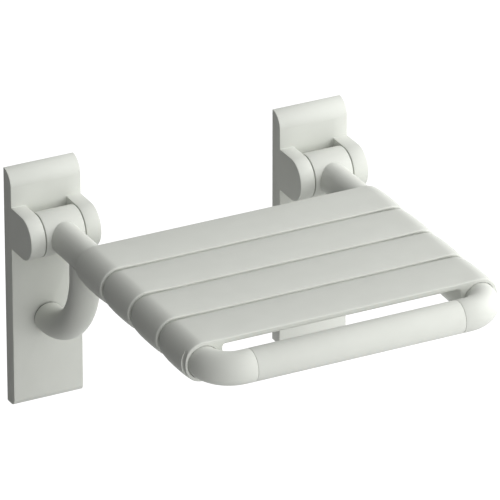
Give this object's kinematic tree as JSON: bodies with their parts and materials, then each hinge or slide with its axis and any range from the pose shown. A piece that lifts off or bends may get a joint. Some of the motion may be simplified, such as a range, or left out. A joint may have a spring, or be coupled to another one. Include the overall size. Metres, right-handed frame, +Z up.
{
  "type": "folding shower seat",
  "caption": "Wall-mounted shower seat: slats on a U-shaped tube frame, hinged on wall brackets, held level by curved stays and folding up flat against the wall.",
  "frame": {"origin": "on the wall plane, midway between the two brackets, level with the hinge axis", "axes": "+X along the wall to the right seen from the front, +Y into the wall, +Z up; the seat reaches towards -Y"},
  "size_m": [0.375, 0.4048, 0.2579],
  "materials": {
    "moulded_grey": "light grey moulded plastic, satin",
    "zinc_steel": "zinc-plated steel",
    "bright_steel": "bright stainless steel",
    "spring_steel": "dark spring steel",
    "bearing_plastic": "natural bearing plastic",
    "grey_rubber": "dark grey rubber"
  },
  "bodies": {
    "wall_brackets": {"left_wall_cover": "moulded_grey", "left_mounting_plate": "zinc_steel", "left_hinge_pin": "bright_steel", "left_inner_disc_spring": "spring_steel", "left_inner_pin_clip": "spring_steel", "left_outer_disc_spring": "spring_steel", "left_outer_pin_clip": "spring_steel", "left_cover_screw": "zinc_steel", "right_wall_cover": "moulded_grey", "right_mounting_plate": "zinc_steel", "right_hinge_pin": "bright_steel", "right_inner_disc_spring": "spring_steel", "right_inner_pin_clip": "spring_steel", "right_outer_disc_spring": "spring_steel", "right_outer_pin_clip": "spring_steel", "right_cover_screw": "zinc_steel"},
    "seat": {"left_hub": "moulded_grey", "left_hub_barrel": "zinc_steel", "left_inner_bush": "bearing_plastic", "left_outer_bush": "bearing_plastic", "left_side_sleeve": "moulded_grey", "left_side_tube": "zinc_steel", "left_elbow": "moulded_grey", "left_elbow_spigot": "zinc_steel", "left_stay": "moulded_grey", "left_stay_tube": "zinc_steel", "left_stay_buffer": "grey_rubber", "left_slat_screw_1": "bright_steel", "left_slat_screw_2": "bright_steel", "left_slat_screw_3": "bright_steel", "left_slat_screw_4": "bright_steel", "right_hub": "moulded_grey", "right_hub_barrel": "zinc_steel", "right_inner_bush": "bearing_plastic", "right_outer_bush": "bearing_plastic", "right_side_sleeve": "moulded_grey", "right_side_tube": "zinc_steel", "right_elbow": "moulded_grey", "right_elbow_spigot": "zinc_steel", "right_stay": "moulded_grey", "right_stay_tube": "zinc_steel", "right_stay_buffer": "grey_rubber", "right_slat_screw_1": "bright_steel", "right_slat_screw_2": "bright_steel", "right_slat_screw_3": "bright_steel", "right_slat_screw_4": "bright_steel", "front_bar_sleeve": "moulded_grey", "front_bar_tube": "zinc_steel", "seat_slat_1": "moulded_grey", "seat_slat_2": "moulded_grey", "seat_slat_3": "moulded_grey", "seat_slat_4": "moulded_grey"}
  },
  "joints": [
    {"name": "seat_fold", "type": "hinge", "parent": "wall_brackets", "child": "seat", "pos_m": [0, -0.0406, 0], "axis": [-1, 0, 0], "range_deg": [0, 93]}
  ]
}
